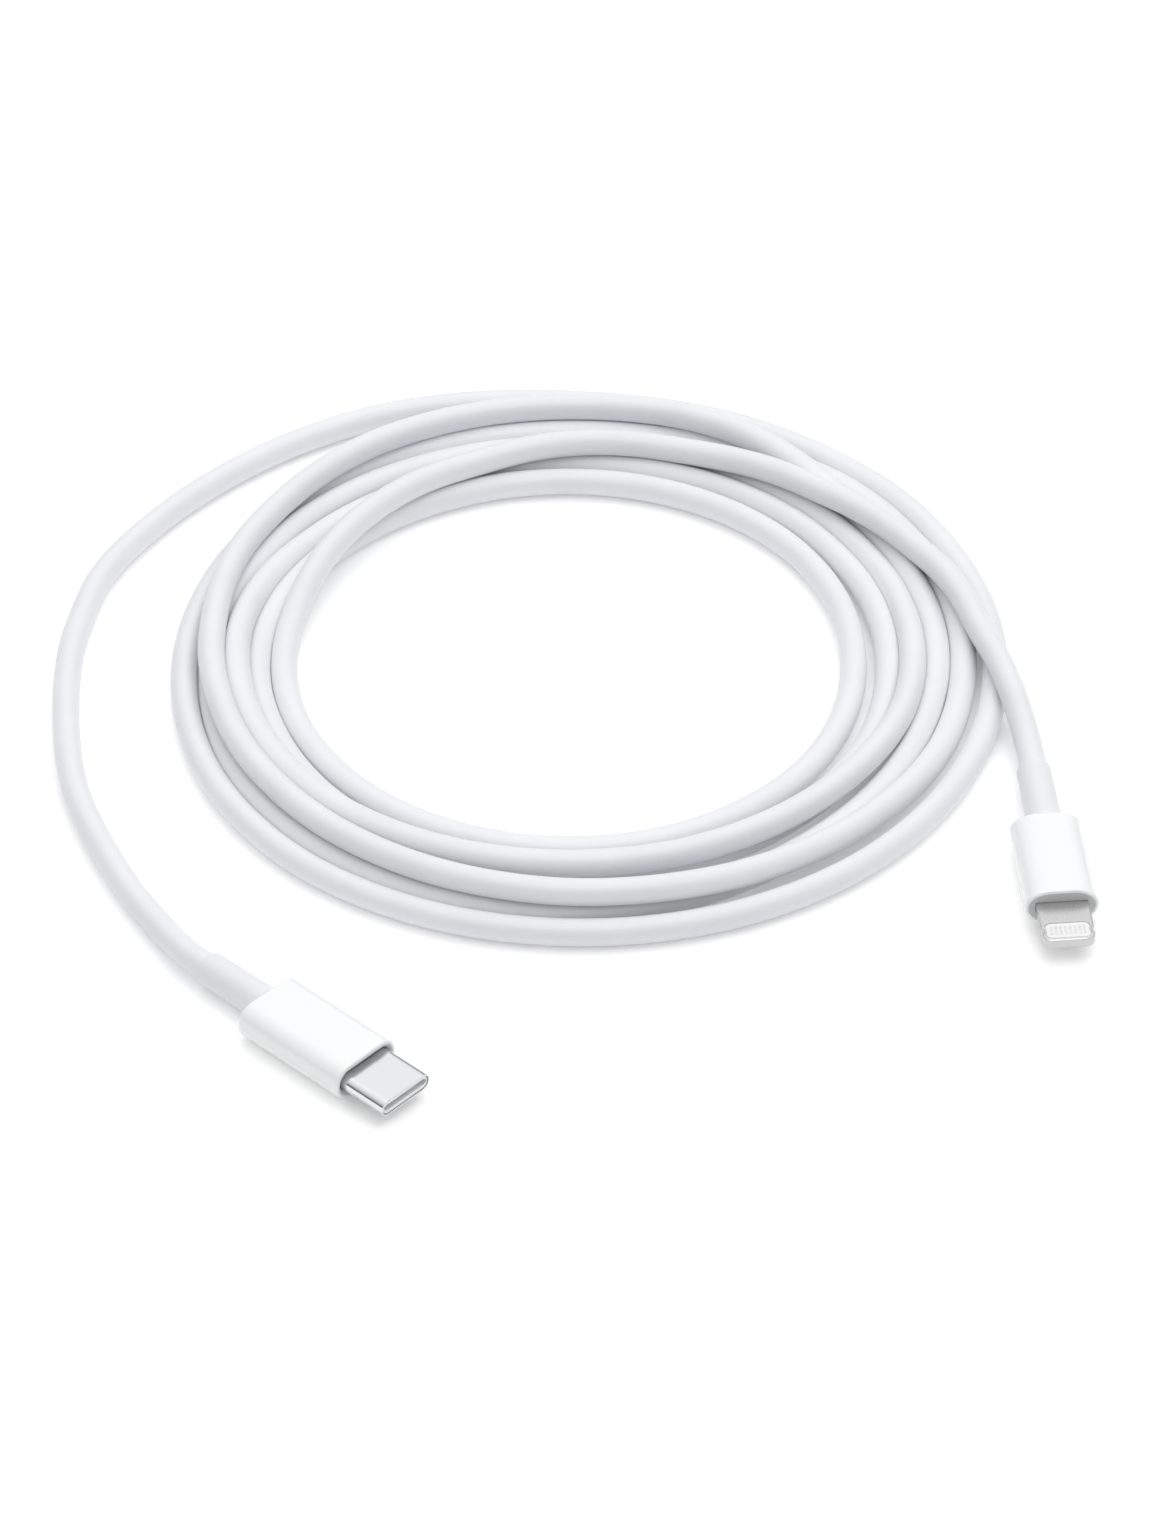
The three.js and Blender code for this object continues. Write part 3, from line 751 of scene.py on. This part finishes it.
def add_pads():
    for side, word in ((1, "upper"), (-1, "lower")):
        low, high = sorted((side * PADS["bottom"], side * PADS["top"]))
        for i in range(PADS["count"]):
            y = (i - (PADS["count"] - 1) / 2) * PADS["pitch"]
            name = f"tab_plug_pad_{word}_{i + 1}"
            pad = plate(name, TAB, lambda inset: pad_outline(y, inset), low, high, PADS["edge"])
            finish(pad, "contact_gold", TAB.body, f"tab_plug_contact_{word}_{i + 1}")


def add_tab():
    add_relief(TAB)
    add_housing(TAB)
    add_moulding(TAB)
    add_blade()
    add_insert()
    add_pads()


add_type_c()
add_tab()


# ---------------------------------------------------------------- CAD nodes that stay

def soften(obj):
    """Eases a CAD node's sharp edges."""
    weld = obj.modifiers.new("weld", "WELD")
    weld.merge_threshold = 0.002 * MM
    bevel = obj.modifiers.new("bevel", "BEVEL")
    bevel.width = CAD_EDGE * MM
    bevel.segments = 2
    bevel.limit_method = "ANGLE"
    bevel.angle_limit = math.radians(40)
    bevel.harden_normals = False


def dress_cad_nodes():
    slots = {part["node"]: part["material_slot"] for part in frame["record"]["subparts"]}
    for name, obj in frame["nodes"].items():
        if obj.hide_render:
            continue
        obj.data.materials.clear()
        obj.data.materials.append(MATERIALS[slots[name]])
        soften(obj)


dress_cad_nodes()


# ---------------------------------------------------------------- floor and light

FLOOR_HALF = 3
FLOOR_GLOW = 0.13
BACKDROP = 1.5
SKY = [(0.0, 0.03), (0.14, 0.1), (0.34, 0.55), (0.6, 0.9), (1.0, 1.2)]      # height, brightness
SKY_LEAN = (0.25, 0.99)                 # how much brighter it is towards +Y, and its mean


def add_floor():
    bm = bmesh.new()
    bmesh.ops.create_grid(bm, x_segments=8, y_segments=8, size=FLOOR_HALF)
    floor = make_object("floor", bm)
    floor.location = (0, 0, -0.00002)
    made = bpy.data.materials.new("floor")
    made.use_nodes = True
    shader = made.node_tree.nodes["Principled BSDF"]
    shader.inputs["Base Color"].default_value = (0.97, 0.97, 0.97, 1)
    shader.inputs["Roughness"].default_value = 0.9
    shader.inputs["Specular IOR Level"].default_value = 0
    shader.inputs["Emission Color"].default_value = (1, 1, 1, 1)
    shader.inputs["Emission Strength"].default_value = FLOOR_GLOW
    floor.data.materials.append(made)


def add_sky():
    """Soft light from above that fades to a dark horizon, behind a plain pale backdrop."""
    world = bpy.data.worlds.new("studio")
    scene.world = world
    world.use_nodes = True
    tree = world.node_tree
    nodes, links = tree.nodes, tree.links
    background = nodes["Background"]
    coordinates = nodes.new("ShaderNodeTexCoord")
    split = nodes.new("ShaderNodeSeparateXYZ")
    ramp = nodes.new("ShaderNodeValToRGB")
    while len(ramp.color_ramp.elements) < len(SKY):
        ramp.color_ramp.elements.new(0.5)
    for element, (height, level) in zip(ramp.color_ramp.elements, SKY):
        element.position = height
        element.color = (level, level, level, 1)
    links.new(coordinates.outputs["Generated"], split.inputs["Vector"])
    links.new(split.outputs["Z"], ramp.inputs["Fac"])
    seen = nodes.new("ShaderNodeLightPath")
    backdrop = nodes.new("ShaderNodeMix")
    backdrop.data_type = "RGBA"
    backdrop.inputs["B"].default_value = (BACKDROP, BACKDROP, BACKDROP, 1)
    links.new(seen.outputs["Is Camera Ray"], backdrop.inputs["Factor"])
    links.new(ramp.outputs["Color"], backdrop.inputs["A"])
    links.new(backdrop.outputs["Result"], background.inputs["Color"])
    lean = nodes.new("ShaderNodeMath")
    lean.operation = "MULTIPLY_ADD"
    lean.inputs[1].default_value = SKY_LEAN[0]
    lean.inputs[2].default_value = SKY_LEAN[1]
    links.new(split.outputs["Y"], lean.inputs[0])
    links.new(lean.outputs["Value"], background.inputs["Strength"])


def add_light(name, location, target, size, watts, sheen=False):
    """A round soft light, which either lights the scene or only shows as a sheen."""
    data = bpy.data.lights.new(name, "AREA")
    data.shape = "DISK"
    data.size = size
    data.energy = watts
    light = bpy.data.objects.new(name, data)
    light.location = location
    direction = Vector(target) - Vector(location)
    light.rotation_euler = direction.to_track_quat("-Z", "Y").to_euler()
    light.visible_glossy = sheen
    light.visible_diffuse = not sheen
    scene.collection.objects.link(light)


add_floor()
add_sky()
add_light("key", (0.3, 0.5, 1.3), (0, 0.05, 0), 1.5, 5.7)
add_light("strip", (0, -0.25, 1.4), (0, 0.03, 0), 0.6, 5, sheen=True)
scene.view_settings.view_transform = "Standard"
